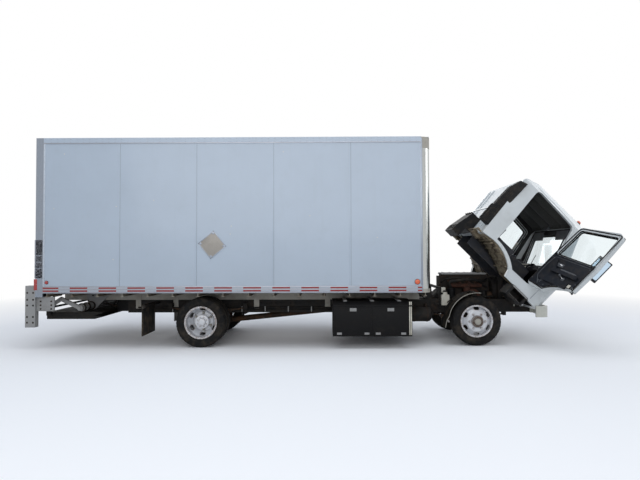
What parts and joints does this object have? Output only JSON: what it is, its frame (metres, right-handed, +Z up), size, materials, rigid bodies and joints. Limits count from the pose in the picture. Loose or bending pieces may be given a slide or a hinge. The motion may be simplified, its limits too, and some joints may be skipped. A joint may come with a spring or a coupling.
{
  "type": "box truck",
  "caption": "Box truck with a forward-tilting cab, hinged doors, steered front wheels, paired rear wheels, a hollow cargo body with a roll-up door and a fold-under liftgate.",
  "frame": {"origin": "middle of the parked truck's footprint on the ground, mirrors and open door included", "axes": "+X forward along the truck, +Y to its left, +Z up"},
  "size_m": [9.1674, 3.3913, 3.3549],
  "materials": {
    "box_skin": "satin white-grey sheet",
    "cab_paint": "gloss pale blue-grey paint",
    "frame_black": "dusty black chassis paint",
    "grey_paint": "weathered grey paint",
    "white_paint": "gloss white paint",
    "cast": "rough dirty castings",
    "steel": "worn bare steel",
    "alloy": "mill-finish extrusion",
    "tyre": "dusty tread rubber",
    "rubber": "matte black rubber",
    "trim": "grained dark plastic",
    "seat_cloth": "dark woven cloth",
    "wood": "worn hardwood planks",
    "pane": "clear automotive glass",
    "lamp_clear": "clear fluted lamp lens",
    "lamp_amber": "amber lamp lens",
    "lamp_red": "red lamp lens and reflective tape"
  },
  "bodies": {
    "chassis": {"ladder_frame": "frame_black", "engine": "cast", "radiator": "trim", "prop_shaft": "steel", "exhaust": "steel", "fuel_tank": "alloy", "side_locker": "frame_black", "front_bumper": "white_paint", "front_axle_beam": "cast", "rear_axle": "cast", "leaf_springs": "steel", "body_sills": "grey_paint", "cargo_floor": "wood", "side_walls": "box_skin", "front_wall": "alloy", "box_roof": "box_skin", "rear_frame": "alloy", "roll_door": "white_paint", "mud_flaps": "rubber", "liftgate_frame": "grey_paint"},
    "cab": {"cab_front": "cab_paint", "cab_sides": "cab_paint", "cab_roof": "cab_paint", "cab_rear_wall": "cab_paint", "cab_floor": "white_paint", "windscreen": "pane", "dashboard": "trim", "seats": "seat_cloth", "intake_duct": "trim", "rear_cover": "trim", "cab_steps": "trim", "engine_cover": "trim", "grille": "trim", "headlamps": "lamp_clear"},
    "steering_wheel": {"steering_wheel": "trim"},
    "door_right": {"door_right": "cab_paint", "door_trim_right": "trim", "door_glass_right": "pane", "mirror_right": "trim"},
    "door_left": {"door_left": "cab_paint", "door_trim_left": "trim", "door_glass_left": "pane", "mirror_left": "trim"},
    "knuckle_right": {"knuckle_right": "cast"},
    "knuckle_left": {"knuckle_left": "cast"},
    "track_rod": {"track_rod": "steel"},
    "front_wheel_right": {"front_rim_right": "white_paint", "front_tyre_right": "tyre"},
    "front_wheel_left": {"front_rim_left": "white_paint", "front_tyre_left": "tyre"},
    "rear_wheels_right": {"rear_rims_right": "white_paint", "rear_tyres_right": "tyre"},
    "rear_wheels_left": {"rear_rims_left": "white_paint", "rear_tyres_left": "tyre"},
    "lift_arms": {"lift_arms": "grey_paint"},
    "lift_platform": {"lift_platform": "frame_black"}
  },
  "joints": [
    {"name": "cab_tilt", "type": "hinge", "parent": "chassis", "child": "cab", "pos_m": [3.517, 0.23, 0.7], "axis": [0, 1, 0], "range_deg": [-45, 0]},
    {"name": "door_right_swing", "type": "hinge", "parent": "cab", "child": "door_right", "pos_m": [3.81752, -0.783, 1.37529], "axis": [0.7071, 0, 0.7071], "range_deg": [-110, 0]},
    {"name": "door_left_swing", "type": "hinge", "parent": "cab", "child": "door_left", "pos_m": [3.81752, 1.243, 1.37529], "axis": [0.7071, 0, 0.7071], "range_deg": [-110, 0]},
    {"name": "steering_wheel_turn", "type": "hinge", "parent": "cab", "child": "steering_wheel", "pos_m": [3.63721, 0.87, 1.47075], "axis": [0.1736, 0, 0.9848], "range_deg": [-594, 594]},
    {"name": "steer_left", "type": "hinge", "parent": "chassis", "child": "knuckle_left", "pos_m": [2.617, 0.93, 0.4], "axis": [0, 0, 1], "range_deg": [-33, 33]},
    {"name": "steer_right", "type": "hinge", "parent": "chassis", "child": "knuckle_right", "pos_m": [2.617, -0.47, 0.4], "axis": [0, 0, 1], "range_deg": [-33, 33]},
    {"name": "track_rod_turn", "type": "hinge", "parent": "knuckle_left", "child": "track_rod", "pos_m": [2.437, 0.93, 0.273], "axis": [0, 0, 1], "range_deg": [-33, 33]},
    {"name": "front_wheel_left_spin", "type": "hinge", "parent": "knuckle_left", "child": "front_wheel_left", "pos_m": [2.617, 1.055, 0.4], "axis": [0, 1, 0], "continuous": true},
    {"name": "front_wheel_right_spin", "type": "hinge", "parent": "knuckle_right", "child": "front_wheel_right", "pos_m": [2.617, -0.595, 0.4], "axis": [0, 1, 0], "continuous": true},
    {"name": "rear_wheels_left_spin", "type": "hinge", "parent": "chassis", "child": "rear_wheels_left", "pos_m": [-1.853, 1.055, 0.4], "axis": [0, 1, 0], "continuous": true},
    {"name": "rear_wheels_right_spin", "type": "hinge", "parent": "chassis", "child": "rear_wheels_right", "pos_m": [-1.853, -0.595, 0.4], "axis": [0, 1, 0], "continuous": true},
    {"name": "lift_arms_swing", "type": "hinge", "parent": "chassis", "child": "lift_arms", "pos_m": [-3.883, 1.09, 0.62], "axis": [0, 1, 0], "range_deg": [-45, 0]},
    {"name": "lift_platform_level", "type": "hinge", "parent": "lift_arms", "child": "lift_platform", "pos_m": [-4.433, 1.09, 0.62], "axis": [0, 1, 0], "range_deg": [0, 45]}
  ],
  "couplings": [
    {"joint": "steer_right", "follows": "steer_left", "ratio": 1},
    {"joint": "track_rod_turn", "follows": "steer_left", "ratio": -1},
    {"joint": "steering_wheel_turn", "follows": "steer_left", "ratio": 18},
    {"joint": "lift_platform_level", "follows": "lift_arms_swing", "ratio": -1}
  ]
}
